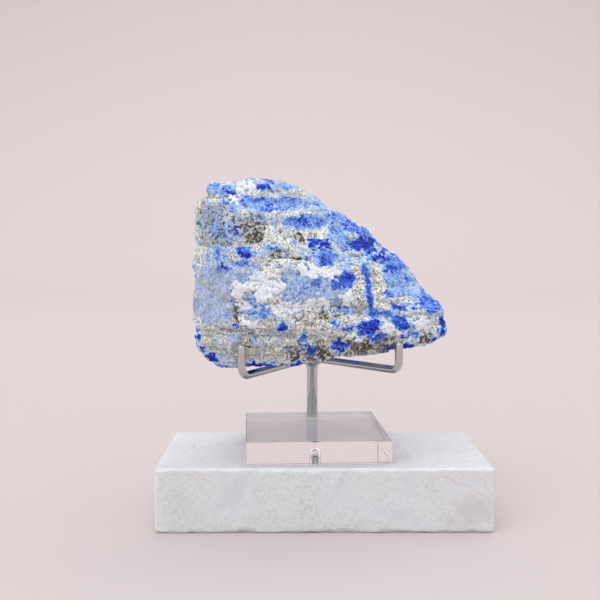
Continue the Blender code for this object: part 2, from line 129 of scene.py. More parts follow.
DEEP_BLUE = (
    (-22.8, 132.5, 3.4, 1.5), (-21.8, 135.5, 2.1, 0.8), (-37.2, 126.6, 1.5, 1.3),
    (-33.8, 117.6, 1.1, 1.1), (-33.6, 114.8, 0.9, 1.3), (-29.6, 107.4, 2.4, 1.3),
    (-39, 102.2, 2.9, 1.3), (-4.6, 111.6, 2.7, 2.3), (-0.4, 111.2, 1.9, 2.3, 40),
    (14.4, 111.4, 4.9, 2.5), (17.5, 108.1, 1.9, 1.5), (22.2, 108.7, 1.7, 1.3), (20.7, 105.3, 3.6, 1.3),
    (24.5, 101.9, 2.9, 0.9), (8.6, 97.3, 2.5, 3.2, 30), (4.2, 96, 2.3, 1.5), (0, 104.2, 2.7, 1.3),
    (-16.5, 79.5, 2.1, 1.7), (-8.5, 75.1, 1.3, 1.5), (-6.8, 72.2, 1.5, 1.7),
    (-5.1, 70.3, 1.3, 1.7), (5.7, 72.4, 3.4, 2.3), (17.3, 79.6, 5.1, 3, 20), (9.5, 79.1, 3, 0.9, 10),
    (29.4, 81.4, 4.8, 2.5, -25), (45, 81.2, 2.1, 1.9), (45, 77.7, 2.1, 1.5, 30),
    (42.6, 73.9, 1.9, 1.1), (19.8, 75.5, 3, 1.1), (29.8, 75.8, 2.1, 0.8), (34.2, 76.8, 1.9, 1.3),
    (-34.8, 80, 1.7, 1.1), (-49.6, 78.9, 1.3, 1.1), (-48.5, 75.3, 1.3, 1.3), (28.3, 87.2, 3.2, 0.8),
    (34.6, 87.1, 1.9, 0.9), (4.6, 81.2, 1.5, 0.8), (13.5, 68.1, 1.3, 0.9), (-35.9, 130.6, 2.1, 0.8),
)
BLUE_SEAM = (
    (15.4, 101.3, 1.5, 2.6, 20), (16.5, 95.5, 1.3, 4.6, 12), (17.6, 88.5, 1.2, 4.4, 8),
)
NAVY = (
    (-46.9, 70.9, 0.9, 1.1), (-43.3, 67.7, 1.5, 2.5, 50), (-39.1, 63.7, 1.1, 0.8),
    (-24.5, 64.6, 5.5, 1.3), (-10.8, 65.2, 2.1, 0.8), (-2.1, 65.6, 2.2, 0.6), (31.9, 71.8, 2.3, 2.1),
    (-29.6, 107.4, 1.7, 0.7), (25.7, 71.3, 1.7, 1.5),
)
CALCITE = (
    (-25.8, 94.1, 10.3, 4.2, 6), (-20.1, 99.4, 4.2, 2.3), (-7, 101.1, 4.4, 2.5, -20),
    (1.1, 100, 4.9, 2.9, -12), (-2.7, 88.4, 4.6, 2.3), (-14.1, 86.7, 7.6, 2.1), (8.7, 89.5, 3, 3),
    (-34.9, 127.6, 1.4, 1.6, 20), (-31.3, 88, 2.5, 1.9), (-31.3, 81.5, 1.7, 2.3),
    (25.8, 79.3, 3.8, 2.7, 8), (37.1, 80.8, 3.2, 1.9), (11, 75.7, 2.3, 1.3), (-29.8, 132.3, 3.6, 2.5),
    (-26.4, 79.5, 3.2, 2.1), (1.1, 87.6, 2.3, 1.5),
)
CALCITE_GAP = (
    (-28.7, 90.5, 2.9, 2.1),
)
# A crack across the face, painted dark along its line through the dirt field
CREVICE = (
    (-9.3, 105.3, 7.4, 0.6, -2),
)
DIRT = (
    (-25.8, 112.9, 1.9, 2.9), (-40.7, 114.2, 0.8, 1.9), (-33.8, 87.6, 1.1, 2.3),
    (-33.8, 83.2, 1.1, 2.1), (-31.3, 78.7, 1.3, 0.9), (-0.6, 84, 2.1, 1.3), (5.3, 84.4, 2.7, 1.3),
    (-9.5, 114.4, 1.5, 2.5), (-16.7, 65.2, 1.5, 1.5), (16.9, 72, 9.3, 2.3),
    (-0.8, 69.6, 1.9, 3.6), (1, 68.4, 2.5, 1.3), (8.2, 68.1, 1.7, 0.9), (38.9, 75.1, 2.5, 1.5),
    (-29.3, 73, 1.1, 0.9), (12.7, 106.4, 1.3, 0.9), (23.9, 71.3, 1.5, 1.1), (-11.8, 68.2, 2.3, 1.9),
)

# What is laid on the face, in order: the patches, the field that they set, its value, how much of it, and
# how far their edges wander
LAYERS = (
    (GREY_SKIN, "skin", 0.9, 1.0, 1.0),
    (GREY_SKIN, "blue", 0.36, 1.0, 1.0),
    (PERIWINKLE, "blue", 0.49, 1.0, 0.7),
    (PALE_BLUE, "blue", 0.39, 1.0, 1.0),
    (CREAM, "blue", 0.10, 1.0, 0.5),
    (OLIVE, "blue", 0.28, 0.9, 1.4),
    (OLIVE, "dirt", 0.76, 0.9, 1.4),
    (MID_BLUE, "blue", 0.62, 1.0, 0.7),
    (DEEP_BLUE, "blue", 0.83, 1.0, 0.9),
    (BLUE_SEAM, "blue", 0.74, 1.0, 0.35),
    (CALCITE, "calcite", 1.0, 1.0, 1.4),
    (CALCITE_GAP, "calcite", 0.0, 1.0, 1.0),
    (CALCITE_GAP, "blue", 0.5, 1.0, 1.0),
    (NAVY, "blue", 0.98, 1.0, 0.9),
    (NAVY, "calcite", 0.0, 1.0, 0.9),
    (DEEP_BLUE, "calcite", 0.0, 1.0, 0.9),
    (DIRT, "dirt", 0.85, 1.0, 1.3),
    (CREVICE, "dirt", 1.0, 1.0, 0.3),
)

# The patches' outline and soft edge, how far the edge wanders, and how wide its bends are
PATCH_SQUARENESS = 2.2
PATCH_EDGE_MM = 1.4
EDGE_WANDER_MM = 1.6
WANDER_FORMS_MM = 3.2
EDGE_RAGGED_MM = 1.6
RAGGED_FORMS_MM = 1.4

# How wide the minerals' own forms are, where no patch says: bands along the bedding, and the rest
BAND_MM = (30.0, 30.0, 3.5)
CLOUD_MM = 10.0
CRUST_MM = 9.0
WEATHER_MM = 24.0

# The stone's fine mesh and relief
BEDDING_DIP = 0.05
TRIANGLE_LIMIT = 199000
SMOOTHING_ROUNDS = 6
HOLLOW_ROUNDS = 30
HOLLOW_DEPTH = 0.35 * MM
WAY_ROUNDS = 3
# How a sunk point is found as a crevice, and how strongly painted shade darkens it
CREVICE_ROUNDS = 4
CREVICE_DEPTH = 0.10 * MM
CREVICE_SHADE_SHARE = 0.85
STRATA_MM = (9.0, 9.0, 1.7)
STRATA_RELIEF_MM = 0.34
TERRACE_MM = 2.6
TERRACE_WAVE_MM = 11.0
TERRACE_PATCH_MM = 8.0
TERRACE_RELIEF_MM = 0.55
TERRACE_SLOPE = 0.8
TERRACE_DROP = 0.2
GRAIN_MM = 1.6
GRAIN_RELIEF_MM = 0.32
CHIP_MM = 3.2
CHIP_MIDDLE = 0.45
CHIP_RELIEF_MM = 0.48
SKIN_SMOOTHING = 0.72
CALCITE_RISE_MM = 0.35
DIRT_SINK_MM = 0.30
STEEL_CLEARANCE = 0.05 * MM
STEEL_SEARCH = 5 * MM
TIP_MARGIN = 2 * MM

# The steel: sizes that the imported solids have
STEEL_NODES = ("post", "left_arm", "right_arm", "rear_arm")
STAND_TURN = math.radians(3.4)
POST_RADIUS = 4.76 * MM / 2
POST_CHAMFER = 0.4 * MM
HUB_RADIUS = 4.3 * MM
HUB_HEIGHT = 5.6 * MM
HUB_HOLD = 1.5 * MM
HUB_FILLET = 1.4 * MM
HUB_FULLNESS = 0.6
HUB_TOP_SHARE = 0.8
HUB_STEPS = 24
TURNED_SIDES = 48
WIRE_RADIUS = 3.18 * MM / 2
WIRE_BEND = 3.6 * MM
WIRE_SIDES = 28
WIRE_TIP_DOME = 0.55
WIRE_TIP_STEPS = 6

# Each wire: its solid, the side that it reaches to, and how far its bend is above the hub's middle
ARMS = (
    ("left_arm", "left", -0.8 * MM),
    ("right_arm", "right", 1.0 * MM),
    ("rear_arm", "rear", 0.0),
)

# The acrylic block
BLOCK_POLISH = 0.35 * MM
BLOCK_SEAT = 0.05 * MM
HOLE_SLACK = 0.06 * MM
HOLE_FLOOR = 0.6 * MM
DRILL_CONE = 0.4
DRILL_OVERRUN = 2 * MM

# The marble slab: rows of its mesh near an edge, the wear there, and its stains as place, size and share
SLAB_NET = 1.5 * MM
SLAB_EDGE_ROWS_MM = (0.0, 0.35, 0.7, 1.05, 1.4, 2.0, 3.0)
SLAB_WEAR_MM = 0.75
SLAB_CHIPS_MM = 1.3
SLAB_CHIP_SPACING_MM = 7.0
SLAB_NICKS_MM = 0.7
SLAB_NICK_SPACING_MM = 1.6
CHIPPED_SHARE = 0.45
STAIN_FORMS_MM = 5.0
FOOT_SOIL = 0.5
FOOT_WANDER_MM = 1.4
SLAB_STAINS = (
    ((58.0, -33.0, 8.0), (12.0, 12.0, 10.0), 0.24),
    ((-39.0, -31.5, 22.0), (0.9, 0.9, 0.9), 0.85),
    ((-15.0, -31.5, 23.5), (0.8, 0.8, 0.8), 0.85),
    ((49.0, -31.5, 21.5), (0.9, 0.9, 0.9), 0.75),
)

# The stage, with the ways to the room's two glows and how close they are drawn together
FLOOR_WIDTH = 6.0
FLOOR_FRONT = 5.0
FLOOR_BACK = 1.2
SWEEP_RADIUS = 0.8
SWEEP_STEPS = 12
WALL_TOP = 3.0
KEY_WAY = Vector((-0.55, -0.60, 1.07))
TOP_WAY = Vector((0.25, 0.55, 1.22))
GLOW_FOCUS = 12.0
BACKDROP_PLACE = Vector((0.0, 0.9, 1.5))
BACKDROP_AIM = Vector((0.0, 2.0, 0.5))
BACKDROP_SIZE = 1.2


def linear(colour_hex):
    """The linear colour, with alpha 1, of an sRGB hex value such as #8FA0B0."""
    parts = [int(colour_hex[i : i + 2], 16) / 255 for i in (1, 3, 5)]
    return (*[c / 12.92 if c <= 0.04045 else ((c + 0.055) / 1.055) ** 2.4 for c in parts], 1.0)


def per_metre(size_mm):
    """The texture scale that makes a pattern's forms as large as size_mm."""
    return 1 / (size_mm * MM)


def add_node(material, kind, inputs=None, stops=None, **settings):
    """Adds a shader node. An input is named, or given by its place, and takes a value, a socket or a node."""
    tree = material.node_tree
    made = tree.nodes.new("ShaderNode" + kind)
    for name, value in settings.items():
        setattr(made, name, value)
    for key, value in (inputs or {}).items():
        if isinstance(value, bpy.types.Node):
            value = value.outputs[0]
        if isinstance(value, bpy.types.NodeSocket):
            tree.links.new(value, made.inputs[key])
        else:
            made.inputs[key].default_value = value
    for place, (position, colour) in enumerate(stops or ()):
        ramp = made.color_ramp
        if place >= len(ramp.elements):
            ramp.elements.new(position)
        ramp.elements[place].position = position
        ramp.elements[place].color = colour
    return made


def new_material(name):
    """An empty node material, which replaces one of the same name."""
    old = bpy.data.materials.get(name)
    if old:
        bpy.data.materials.remove(old)
    material = bpy.data.materials.new(name)
    material.use_nodes = True
    material.node_tree.nodes.clear()
    return material


def finished(material, shader):
    """Joins the shader to the material's surface."""
    add_node(material, "OutputMaterial", {"Surface": shader})
    return material


def lapis_lazuli_broken(stone):
    # Lapis lazuli, broken and left raw. Lazurite grains lie in white calcite and cream diopside, so the blue
    # breaks up into flecks, and the broken grain faces scatter the light dully. The grains are about half a
    # millimetre wide in the stone, and are drawn a little coarser so that they show.
    material = new_material("lapis_lazuli_broken")
    place = add_node(material, "TexCoord").outputs["Object"]
    fields = {}
    for name in ("blue", "calcite", "skin", "dirt", "crevice_shade"):
        fields[name] = add_node(material, "Attribute", attribute_name=name).outputs["Fac"]
    bedded = add_node(material, "VectorMath", {0: place, 1: (0.42, 0.42, 1.0)}, operation="MULTIPLY")
    noises = {}
    for name, vector, size_mm, detail in (
        ("grain", place, 0.8, 3.0), ("streak", bedded, 0.65, 4.0), ("clot", place, 3.6, 2.0),
        ("cloud", place, 9.0, 2.0), ("speck", place, 0.62, 2.0), ("pit", place, 1.3, 3.0),
    ):
        noises[name] = add_node(
            material, "TexNoise",
            {"Vector": vector, "Scale": per_metre(size_mm), "Detail": detail, "Roughness": 0.65},
        )
    warp = add_node(
        material, "VectorMath",
        {0: noises["grain"].outputs["Color"], 1: (0.7 * MM,) * 3}, operation="MULTIPLY",
    )
    bent = add_node(material, "VectorMath", {0: place, 1: warp}, operation="ADD")
    cells = add_node(material, "TexVoronoi", {"Vector": bent, "Scale": per_metre(0.62)})
    cell = add_node(material, "SeparateColor", {0: cells.outputs["Color"]})

    # Blueness: the field, grain and clots, with deep flecks and pale grains scattered through it
    share = fields["blue"]
    for name, weight in (("streak", 0.55), ("grain", 0.45), ("clot", 0.25)):
        share = add_node(material, "Math", {0: noises[name], 1: weight, 2: share}, operation="MULTIPLY_ADD")
    share = add_node(material, "Math", {0: share, 1: 0.625}, operation="SUBTRACT")
    likely = add_node(
        material, "Math", {0: cell.outputs[0], 1: 0.5, 2: noises["clot"]}, operation="MULTIPLY_ADD"
    )
    likely = add_node(material, "Math", {0: fields["blue"], 1: 0.25, 2: likely}, operation="MULTIPLY_ADD")
    fleck = add_node(
        material, "MapRange",
        {"Value": likely, "From Min": 1.00, "From Max": 1.06, "To Min": 0.0, "To Max": 0.26},
    )
    pale = add_node(
        material, "MapRange",
        {"Value": cell.outputs[1], "From Min": 0.84, "From Max": 0.90, "To Min": 0.0, "To Max": -0.15},
    )
    share = add_node(material, "Math", {0: share, 1: fleck}, operation="ADD")
    share = add_node(material, "Math", {0: share, 1: pale}, operation="ADD")
    blues = (
        (0.00, linear("#CFCDBE")), (0.22, linear("#DDE2E6")), (0.36, tuple(stone.palest_blue)),
        (0.50, linear("#95BAF5")), (0.60, tuple(stone.sky_blue)), (0.70, linear("#4E7EE8")),
        (0.80, tuple(stone.royal_blue)), (0.91, linear("#1A2FBC")), (1.00, tuple(stone.navy)),
    )
    blue = add_node(material, "ValToRGB", {0: share}, blues)

    # Matrix: cream diopside, each grain lighter or greyer than the next, and stained brown where soil lies
    matrix_tone = add_node(
        material, "Math", {0: cell.outputs[2], 1: 0.5, 2: noises["speck"]}, operation="MULTIPLY_ADD"
    )
    for name, weight in (("pit", 1.1), ("cloud", 0.4)):
        matrix_tone = add_node(
            material, "Math", {0: noises[name], 1: weight, 2: matrix_tone}, operation="MULTIPLY_ADD"
        )
    creams = (
        (0.40, linear("#4E473D")), (0.45, linear("#A5A193")), (0.50, tuple(stone.matrix)),
        (0.59, linear("#F6F7F4")),
    )
    matrix_tone = add_node(material, "Math", {0: matrix_tone, 1: 0.35}, operation="MULTIPLY")
    matrix = add_node(material, "ValToRGB", {0: matrix_tone}, creams)
    tea = add_node(
        material, "Math", {0: noises["clot"], 1: 1.6, 2: fields["dirt"]}, operation="MULTIPLY_ADD"
    )
    tea = add_node(material, "MapRange", {"Value": tea, "From Min": 0.92, "From Max": 1.45, "To Max": 0.65})
    matrix = add_node(
        material, "Mix", {0: tea, 6: matrix, 7: linear("#A79C7C")}, data_type="RGBA"
    ).outputs[2]
    bare = add_node(
        material, "MapRange", {"Value": share, "From Min": 0.34, "From Max": 0.20, "To Max": 0.85}
    )
    colour = add_node(material, "Mix", {0: bare, 6: blue, 7: matrix}, data_type="RGBA").outputs[2]

    # Skin: a weathered, smoother, grey lavender face
    thin = add_node(
        material, "MapRange",
        {"Value": noises["cloud"], "From Min": 0.35, "From Max": 0.65, "To Min": 0.25, "To Max": 0.80},
    )
    thin = add_node(material, "Math", {0: thin, 1: fields["skin"]}, operation="MULTIPLY")
    film = add_node(
        material, "ValToRGB", {0: noises["clot"]},
        ((0.42, linear("#697287")), (0.5, tuple(stone.skin)), (0.58, linear("#B4BFD6"))),
    )
    colour = add_node(material, "Mix", {0: thin, 6: colour, 7: film}, data_type="RGBA").outputs[2]

    # Calcite: white, in crusts with a ragged edge
    edge = add_node(
        material, "Math", {0: noises["grain"], 1: 1.1, 2: fields["calcite"]}, operation="MULTIPLY_ADD"
    )
    white = add_node(material, "MapRange", {"Value": edge, "From Min": 0.98, "From Max": 1.14})
    chalk = add_node(
        material, "ValToRGB", {0: noises["speck"]},
        ((0.28, linear("#B4BAC6")), (0.42, tuple(stone.calcite)), (0.7, linear("#FBFBFA"))),
    )
    colour = add_node(material, "Mix", {0: white, 6: colour, 7: chalk}, data_type="RGBA").outputs[2]

    # Dirt: brown to black, in the pits and along the underside
    edge = add_node(
        material, "Math", {0: noises["pit"], 1: 2.2, 2: fields["dirt"]}, operation="MULTIPLY_ADD"
    )
    soil = add_node(material, "MapRange", {"Value": edge, "From Min": 1.80, "From Max": 1.90, "To Max": 0.9})
    earth = add_node(
        material, "ValToRGB", {0: noises["clot"]},
        ((0.38, linear("#171312")), (0.5, tuple(stone.dirt)), (0.62, linear("#7D6A4E"))),
    )
    colour = add_node(material, "Mix", {0: soil, 6: colour, 7: earth}, data_type="RGBA").outputs[2]

    # Each grain a little lighter or darker than the next
    facet = add_node(material, "MapRange", {"Value": cell.outputs[2], "To Min": 0.80, "To Max": 1.18})
    colour = add_node(material, "VectorMath", {0: colour, 1: facet}, operation="MULTIPLY")

    # Painted shade that darkens the crevices, and small dark pores between the grains
    shade_in_crevices = add_node(material, "Math", {0: fields["crevice_shade"], 1: noises["clot"]}, operation="MULTIPLY")
    pore = add_node(
        material, "MapRange",
        {"Value": noises["speck"], "From Min": 0.37, "From Max": 0.27, "To Min": 0.0, "To Max": 0.65},
    )
    for cover, tint in ((shade_in_crevices, "#3C3B44"), (pore, "#4A4750")):
        colour = add_node(
            material, "Mix", {0: cover, 6: colour, 7: linear(tint)}, data_type="RGBA"
        ).outputs[2]

    dull = add_node(material, "MapRange", {"Value": noises["grain"], "To Min": 0.55, "To Max": 0.95})
    rough = add_node(material, "Bump", {"Height": noises["speck"], "Strength": 0.9, "Distance": 0.4 * MM})
    shader = add_node(
        material, "BsdfPrincipled",
        {"Base Color": colour, "Roughness": dull, "Normal": rough, "IOR": 1.5, "Specular IOR Level": 0.3},
    )
    return finished(material, shader)


def stainless_steel_polished(stand):
    # Stainless steel rod and wire, drawn through a die and then polished: bright, with very faint lines. The
    # lines are a few hundredths of a millimetre apart, and are drawn ten times coarser, as a fine grain.
    material = new_material("stainless_steel_polished")
    place = add_node(material, "TexCoord").outputs["Object"]
    line = add_node(material, "TexNoise", {"Vector": place, "Scale": per_metre(0.35), "Detail": 2.0})
    cloud = add_node(material, "TexNoise", {"Vector": place, "Scale": per_metre(6.0)})
    gloss = add_node(material, "MapRange", {"Value": cloud, "To Min": 0.07, "To Max": 0.17})
    fine = add_node(material, "Bump", {"Height": line, "Strength": 0.08, "Distance": 0.02 * MM})
    shader = add_node(
        material, "BsdfPrincipled",
        {"Base Color": tuple(stand.steel), "Metallic": 1.0, "Roughness": gloss, "Normal": fine},
    )
    return finished(material, shader)


def acrylic_polished(stand):
    # Cast acrylic, sawn and flame polished, in its drilled hole too: clear, with smooth faces that bend what
    # is behind them, and the faintest handling marks in the gloss.
    material = new_material("acrylic_polished")
    place = add_node(material, "TexCoord").outputs["Object"]
    touch = add_node(material, "TexNoise", {"Vector": place, "Scale": per_metre(9.0), "Detail": 3.0})
    gloss = add_node(material, "MapRange", {"Value": touch, "To Min": 0.0, "To Max": 0.05})
    shader = add_node(
        material, "BsdfPrincipled",
        {
            "Base Color": tuple(stand.acrylic), "Roughness": gloss, "IOR": 1.49,
            "Transmission Weight": 1.0,
        },
    )
    return finished(material, shader)


def marble_sawn(stand):
    # White crystalline marble, sawn and honed: calcite crystals about a millimetre across, each a little
    # lighter or greyer than the next, faint grey clouds, and paler broken crystals along the chipped edges.
    material = new_material("marble_sawn")
    place = add_node(material, "TexCoord").outputs["Object"]
    chipped = add_node(material, "Attribute", attribute_name="chipped").outputs["Fac"]
    stain = add_node(material, "Attribute", attribute_name="stain").outputs["Fac"]
    crystal = add_node(material, "TexVoronoi", {"Vector": place, "Scale": per_metre(1.3)})
    sugar = add_node(material, "TexNoise", {"Vector": place, "Scale": per_metre(0.9), "Detail": 3.0})
    cloud = add_node(
        material, "TexNoise", {"Vector": place, "Scale": per_metre(22.0), "Detail": 4.0, "Distortion": 0.7}
    )
    one = add_node(material, "SeparateColor", {0: crystal.outputs["Color"]})
    tone = add_node(material, "Math", {0: one, 1: 0.16}, operation="MULTIPLY")
    tone = add_node(material, "Math", {0: sugar, 1: 0.7, 2: tone}, operation="MULTIPLY_ADD")
    tone = add_node(material, "Math", {0: cloud, 1: 0.5, 2: tone}, operation="MULTIPLY_ADD")
    colour = add_node(
        material, "ValToRGB", {0: tone},
        ((0.40, linear("#C6C7C9")), (0.66, tuple(stand.marble)), (0.95, linear("#E6E8EA"))),
    )
    vein = add_node(
        material, "MapRange",
        {"Value": cloud, "From Min": 0.58, "From Max": 0.72, "To Min": 0.0, "To Max": 0.30},
    )
    for cover, tint in ((vein, "#B4B6BC"), (stain, "#B8AE9C"), (chipped, "#ECEEF2")):
        colour = add_node(
            material, "Mix", {0: cover, 6: colour, 7: linear(tint)}, data_type="RGBA"
        ).outputs[2]
    gloss = add_node(material, "MapRange", {"Value": sugar, "To Min": 0.38, "To Max": 0.72})
    pits = add_node(material, "Bump", {"Height": sugar, "Strength": 0.5, "Distance": 0.12 * MM})
    shader = add_node(
        material, "BsdfPrincipled",
        {
            "Base Color": colour, "Roughness": gloss, "Normal": pits, "IOR": 1.5,
            "Subsurface Weight": 0.12, "Subsurface Radius": (1.0, 0.9, 0.8), "Subsurface Scale": 2.5 * MM,
        },
    )
    return finished(material, shader)


def painted_board(stage):
    # The floor: board painted with a matt emulsion, so it has no gloss and only the roller's faint nap.
    material = new_material("painted_board")
    place = add_node(material, "TexCoord").outputs["Object"]
    nap = add_node(material, "TexNoise", {"Vector": place, "Scale": per_metre(1.5), "Detail": 2.0})
    raised = add_node(material, "Bump", {"Height": nap, "Strength": 0.1, "Distance": 0.05 * MM})
    shader = add_node(
        material, "BsdfPrincipled",
        {"Base Color": tuple(stage.floor), "Roughness": 0.9, "Normal": raised, "Specular IOR Level": 0.2},
    )
    return finished(material, shader)


def replace_object(name, data, *materials):
    """An object of that name, in place of any that has it."""
    old = bpy.data.objects.get(name)
    if old:
        bpy.data.objects.remove(old)
    made = bpy.data.objects.new(name, data)
    bpy.context.scene.collection.objects.link(made)
    for material in materials:
        data.materials.append(material)
    return made


def made_mesh(bm, name):
    """The mesh of what bm holds, which is freed."""
    mesh = bpy.data.meshes.new(name)
    bm.to_mesh(mesh)
    bm.free()
    return mesh


def turned(name, profile, middle):
    """A mesh turned round the upright line at middle, from a profile of radius and height."""
    bm = bmesh.new()
    verts = [bm.verts.new((radius, 0, height)) for radius, height in profile]
    edges = [bm.edges.new(pair) for pair in zip(verts, verts[1:])]
    bmesh.ops.spin(
        bm, geom=verts + edges, axis=(0, 0, 1), cent=(0, 0, 0), angle=2 * math.pi,
        steps=TURNED_SIDES, use_merge=True,
    )
    bmesh.ops.remove_doubles(bm, verts=bm.verts, dist=MERGE)
    bmesh.ops.recalc_face_normals(bm, faces=bm.faces)
    bmesh.ops.translate(bm, verts=bm.verts, vec=(*middle, 0))
    return made_mesh(bm, name)


def place_piece(piece, node):
    """Lets the piece stand for its solid, and move with the body."""
    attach(piece, BODY)
    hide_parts(node)


def apply_modifiers(piece):
    """Gives the piece the mesh that its modifiers make, and takes them off."""
    depsgraph = bpy.context.evaluated_depsgraph_get()
    mesh = bpy.data.meshes.new_from_object(piece.evaluated_get(depsgraph))
    piece.modifiers.clear()
    piece.data = mesh
    return mesh


def smooth(mesh, sharp_angle=180.0):
    """Shades the mesh smooth, apart from edges sharper than the angle."""
    mesh.shade_smooth()
    if sharp_angle < 180.0:
        mesh.set_sharp_from_angle(angle=math.radians(sharp_angle))


def step(values, low, high):
    """0 below low and 1 above high, with a smooth rise between them."""
    share = np.clip((values - low) / (high - low), 0, 1)
    return share * share * (3 - 2 * share)


def sampled(pattern, points_mm, size_mm, offset=0.0):
    """A pattern of mathutils.noise at every point, its forms size_mm wide, moved along by offset."""
    scaled = points_mm / np.array(size_mm) + offset
    return np.array([pattern(Vector(point)) for point in scaled])


def layered(point):
    return noise.fractal(point, 0.8, 2.1, 3)


def vertex_vectors(mesh, kind):
    """The place, "co", or the "normal" of every vertex."""
    values = np.empty(len(mesh.vertices) * 3, np.float32)
    mesh.vertices.foreach_get(kind, values)
    return values.reshape(-1, 3).astype(float)


def move_vertices(mesh, points):
    """Puts every vertex at its new place."""
    mesh.vertices.foreach_set("co", points.astype(np.float32).ravel())


def keep_fields(mesh, fields):
    """Keeps each field on the vertices, where the material reads it."""
    for name, values in fields.items():
        layer = mesh.attributes.new(name, "FLOAT", "POINT")
        layer.data.foreach_set("value", values.astype(np.float32))


def neighbour_mean(mesh, values, rounds):
    """Each value spread over the mesh, by the mean of its neighbours, so many times."""
    ends = np.empty(len(mesh.edges) * 2, np.int32)
    mesh.edges.foreach_get("vertices", ends)
    first, second = ends[::2], ends[1::2]
    count = np.bincount(ends, minlength=len(mesh.vertices))
    spread = values.copy()
    for _ in range(rounds):
        for axis in range(spread.shape[1]):
            column = spread[:, axis]
            total = np.bincount(first, column[second], len(column))
            total += np.bincount(second, column[first], len(column))
            spread[:, axis] = (column + total) / (count + 1)
    return spread


def picture_places(points):
    """Where each point is seen on the picture plane through the stone's front, in millimetres."""
    eye = np.array(EYE)
    share = (FACE_PLANE_Y - eye[1]) / (points[:, 1] - eye[1])
    return (eye + (points - eye) * share[:, None])[:, [0, 2]] / MM


def patch_cover(places, patch):
    """How far a patch covers each place: 1 inside, and 0 outside its soft edge."""
    across, up, half_width, half_height = patch[:4]
    turn = math.radians(patch[4] if len(patch) > 4 else 0.0)
    out = places - np.array((across, up))
    along = (out[:, 0] * math.cos(turn) + out[:, 1] * math.sin(turn)) / half_width
    over = (out[:, 1] * math.cos(turn) - out[:, 0] * math.sin(turn)) / half_height
    radius = (np.abs(along) ** PATCH_SQUARENESS + np.abs(over) ** PATCH_SQUARENESS) ** (1 / PATCH_SQUARENESS)
    inside = (1 - radius) * min(half_width, half_height)
    return step(inside, -PATCH_EDGE_MM / 2, PATCH_EDGE_MM / 2)


def mineral_fields(points, normals, hollow):
    """How blue, white, weathered and dirty the stone is at each point, from 0 to 1."""
    places_mm = points / MM
    bedded = places_mm.copy()
    bedded[:, 2] += BEDDING_DIP * bedded[:, 0]
    band = sampled(layered, bedded, BAND_MM)
    cloud = sampled(layered, places_mm, CLOUD_MM, 7.3)
    crust = sampled(layered, places_mm, CRUST_MM, 31.7)
    weather = sampled(layered, places_mm, WEATHER_MM, 55.1)
    fields = {
        "blue": np.clip(0.40 + 0.42 * band + 0.14 * cloud, 0.05, 0.95),
        "calcite": step(crust, 0.42, 0.60),
        "skin": 0.8 * step(weather, 0.25, 0.60),
        "dirt": 0.55 * step(hollow, 0.25, 0.9) + 0.25 * step(-normals[:, 2], 0.5, 0.9),
    }
    seen = points - np.array(EYE)
    facing = -(normals * seen).sum(1) / np.linalg.norm(seen, axis=1)
    best_face = step(facing, -0.10, 0.12)
    wobble = 0.0
    for forms_mm, reach_mm, offset in (
        (WANDER_FORMS_MM, EDGE_WANDER_MM, 0.0), (RAGGED_FORMS_MM, EDGE_RAGGED_MM, 17.0),
    ):
        ways = [sampled(noise.noise, places_mm, forms_mm, offset + 11.0 * i) * reach_mm for i in range(2)]
        wobble = wobble + np.stack(ways, axis=1)
    places = picture_places(points)
    face = {
        "blue": np.clip(0.24 + 0.14 * band + 0.10 * cloud, 0.05, 0.95),
        "calcite": 0.38 * step(crust, 0.5, 0.7),
        "skin": np.zeros(len(points)),
        "dirt": 0.45 * step(hollow, 0.3, 1.0),
    }
    for patch, values in ZONES:
        cover = patch_cover(places + wobble, patch)
        for name, value in values.items():
            face[name] += (value - face[name]) * cover
    for patches, name, value, share, wander in LAYERS:
        for patch in patches:
            face[name] += (value - face[name]) * patch_cover(places + wobble * wander, patch) * share
    face["blue"] += 0.10 * band
    for name, values in fields.items():
        fields[name] = values + (face[name] - values) * best_face
    return fields


def surface_relief(points_mm, fields):
    """How far the fine broken surface stands out, in millimetres."""
    bedded = points_mm.copy()
    bedded[:, 2] += BEDDING_DIP * bedded[:, 0]
    push = STRATA_RELIEF_MM * sampled(layered, bedded, STRATA_MM)
    level = bedded[:, 2] / TERRACE_MM + 1.3 * sampled(layered, points_mm, TERRACE_WAVE_MM, 5.7)
    rise = level - np.floor(level)
    strength = step(sampled(noise.noise, points_mm, TERRACE_PATCH_MM, 41.0), -0.3, 0.4)
    ledge = np.minimum(rise / TERRACE_SLOPE, (1 - rise) / TERRACE_DROP) - 0.5
    push += TERRACE_RELIEF_MM * strength * ledge
    push += GRAIN_RELIEF_MM * sampled(layered, points_mm, GRAIN_MM, 3.1)
    nearest = sampled(lambda point: noise.voronoi(point)[0][0], points_mm, CHIP_MM)
    push += CHIP_RELIEF_MM * (CHIP_MIDDLE - nearest)
    push *= 1 - SKIN_SMOOTHING * fields["skin"]
    push += CALCITE_RISE_MM * step(fields["calcite"], 0.3, 0.7)
    push -= DIRT_SINK_MM * step(fields["dirt"], 0.5, 0.9)
    return push


def steel_gap(points):
    """How far each low point of the stone is from the steel under it, in metres."""
    gap = np.full(len(points), 1.0)
    steel = [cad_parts[name] for name in STEEL_NODES]
    trees = [
        BVHTree.FromPolygons([v.co for v in piece.data.vertices], [p.vertices for p in piece.data.polygons])
        for piece in steel
    ]
    low = np.nonzero(points[:, 2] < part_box("rear_arm")[1].z + TIP_MARGIN)[0]
    for i in low:
        place = Vector(points[i])
        for tree in trees:
            found = tree.find_nearest(place, STEEL_SEARCH)
            if found[0] is not None:
                gap[i] = min(gap[i], found[3])
    return gap


